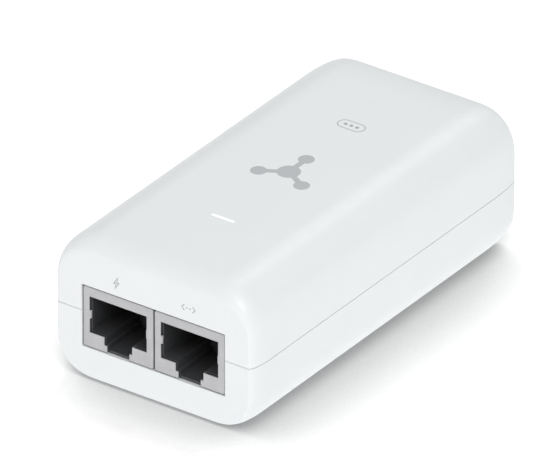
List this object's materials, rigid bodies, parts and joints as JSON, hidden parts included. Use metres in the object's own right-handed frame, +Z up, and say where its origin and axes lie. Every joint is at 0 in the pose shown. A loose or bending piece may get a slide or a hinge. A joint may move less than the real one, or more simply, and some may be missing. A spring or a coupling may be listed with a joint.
{
  "type": "poe injector",
  "caption": "Rounded white power-over-Ethernet injector with shielded network jacks side by side in front, a status light bar on top and an earthed mains inlet at the rear.",
  "frame": {"origin": "middle of the footprint, on the surface that the case lies on", "axes": "+X to the right seen from the jacks, +Y from the jacks towards the mains inlet (the long way), +Z up"},
  "size_m": [0.046, 0.0868, 0.0298],
  "materials": {
    "white_plastic": "satin moulded",
    "black_plastic": "fine moulded",
    "clear_plastic": "frosted clear light guide",
    "shield_metal": "matt nickel plated sheet",
    "gold_plate": "gold plated",
    "bright_metal": "bright nickel plated",
    "board_laminate": "solder mask over glass laminate",
    "ferrite": "dull sintered",
    "copper_wire": "enamelled copper wire",
    "yellow_film": "wrapped polyester tape",
    "grey_film": "thin insulating film",
    "blue_coat": "dipped epoxy",
    "green_coat": "dipped epoxy",
    "heat_sink_aluminium": "plain sheet",
    "chip_black": "moulded epoxy",
    "capacitor_sleeve": "shrunk film sleeve",
    "led_phosphor": "phosphor dome"
  },
  "bodies": {
    "case": {"upper_shell": "white_plastic", "lower_shell": "white_plastic", "led_light_pipe": "clear_plastic", "status_led": "led_phosphor", "main_circuit_board": "board_laminate", "insulating_sheet": "grey_film", "board_screw_left": "bright_metal", "board_screw_right": "bright_metal", "poe_jack_shield": "shield_metal", "data_jack_shield": "shield_metal", "poe_jack_housing": "black_plastic", "data_jack_housing": "black_plastic", "poe_contact_carrier": "black_plastic", "data_contact_carrier": "black_plastic", "inlet_housing": "black_plastic", "inlet_line_pin": "bright_metal", "inlet_neutral_pin": "bright_metal", "inlet_earth_pin": "bright_metal", "fuse": "bright_metal", "x_capacitor": "yellow_film", "inrush_thermistor": "green_coat", "varistor": "blue_coat", "choke_core": "ferrite", "choke_winding_line": "copper_wire", "choke_winding_neutral": "copper_wire", "bridge_rectifier": "chip_black", "bulk_capacitor": "capacitor_sleeve", "primary_heat_sink": "heat_sink_aluminium", "switching_transistor": "chip_black", "rectifier_heat_sink": "heat_sink_aluminium", "output_rectifier": "chip_black", "transformer_core": "ferrite", "transformer_winding": "yellow_film", "y_capacitor": "blue_coat", "optocoupler": "chip_black", "output_capacitor_1": "capacitor_sleeve", "output_capacitor_2": "capacitor_sleeve", "output_inductor": "ferrite", "data_transformer": "chip_black", "poe_controller_chip": "chip_black", "poe_power_switch": "chip_black"},
    "poe_contacts": {"poe_contact_1": "gold_plate", "poe_contact_2": "gold_plate", "poe_contact_3": "gold_plate", "poe_contact_4": "gold_plate", "poe_contact_5": "gold_plate", "poe_contact_6": "gold_plate", "poe_contact_7": "gold_plate", "poe_contact_8": "gold_plate"},
    "data_contacts": {"data_contact_1": "gold_plate", "data_contact_2": "gold_plate", "data_contact_3": "gold_plate", "data_contact_4": "gold_plate", "data_contact_5": "gold_plate", "data_contact_6": "gold_plate", "data_contact_7": "gold_plate", "data_contact_8": "gold_plate"}
  },
  "joints": [
    {"name": "poe_contacts_press", "type": "hinge", "parent": "case", "child": "poe_contacts", "pos_m": [-0.00817, -0.04001, 0.018], "axis": [1, 0, 0], "range_deg": [0, 12], "stiffness_Nm_per_rad": 0.3},
    {"name": "data_contacts_press", "type": "hinge", "parent": "case", "child": "data_contacts", "pos_m": [0.00817, -0.04001, 0.018], "axis": [1, 0, 0], "range_deg": [0, 12], "stiffness_Nm_per_rad": 0.3}
  ]
}
